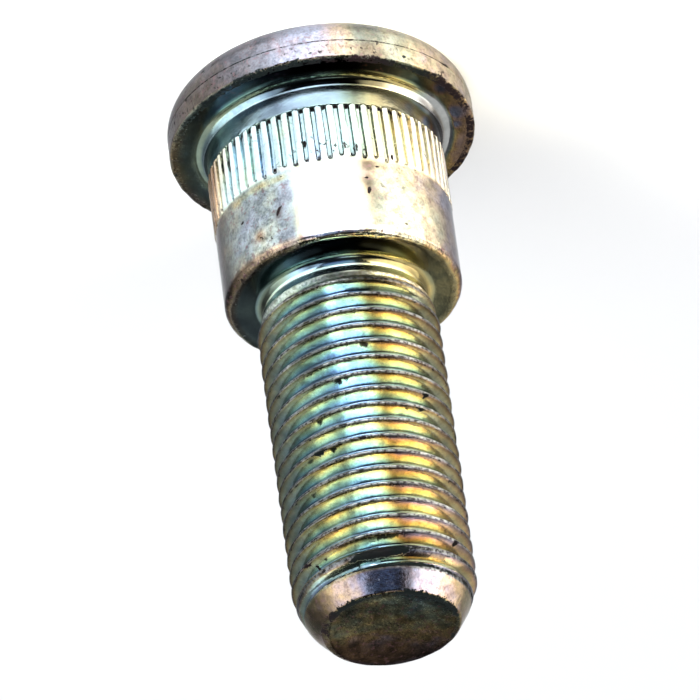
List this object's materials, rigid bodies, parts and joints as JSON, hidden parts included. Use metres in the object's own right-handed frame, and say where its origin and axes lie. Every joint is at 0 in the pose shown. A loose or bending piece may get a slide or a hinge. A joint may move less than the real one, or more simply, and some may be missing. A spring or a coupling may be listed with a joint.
{
  "type": "wheel stud",
  "caption": "Press-in wheel stud with a round head, serrated press zone, plain shoulder and fine thread with a plain tapered tip.",
  "frame": {"origin": "centre of the flat back of the head, on the stud's axis", "axes": "+Z along the shank from the head to the threaded tip; X and Y are equivalent because the stud is round"},
  "size_m": [0.0212, 0.0212, 0.0433],
  "materials": {
    "plated_steel": "zinc plated with a thin yellow-green iridescent chromate film, glossy, with rough crests on the rolled thread"
  },
  "bodies": {
    "root": {"stud": "plated_steel"}
  },
  "joints": []
}
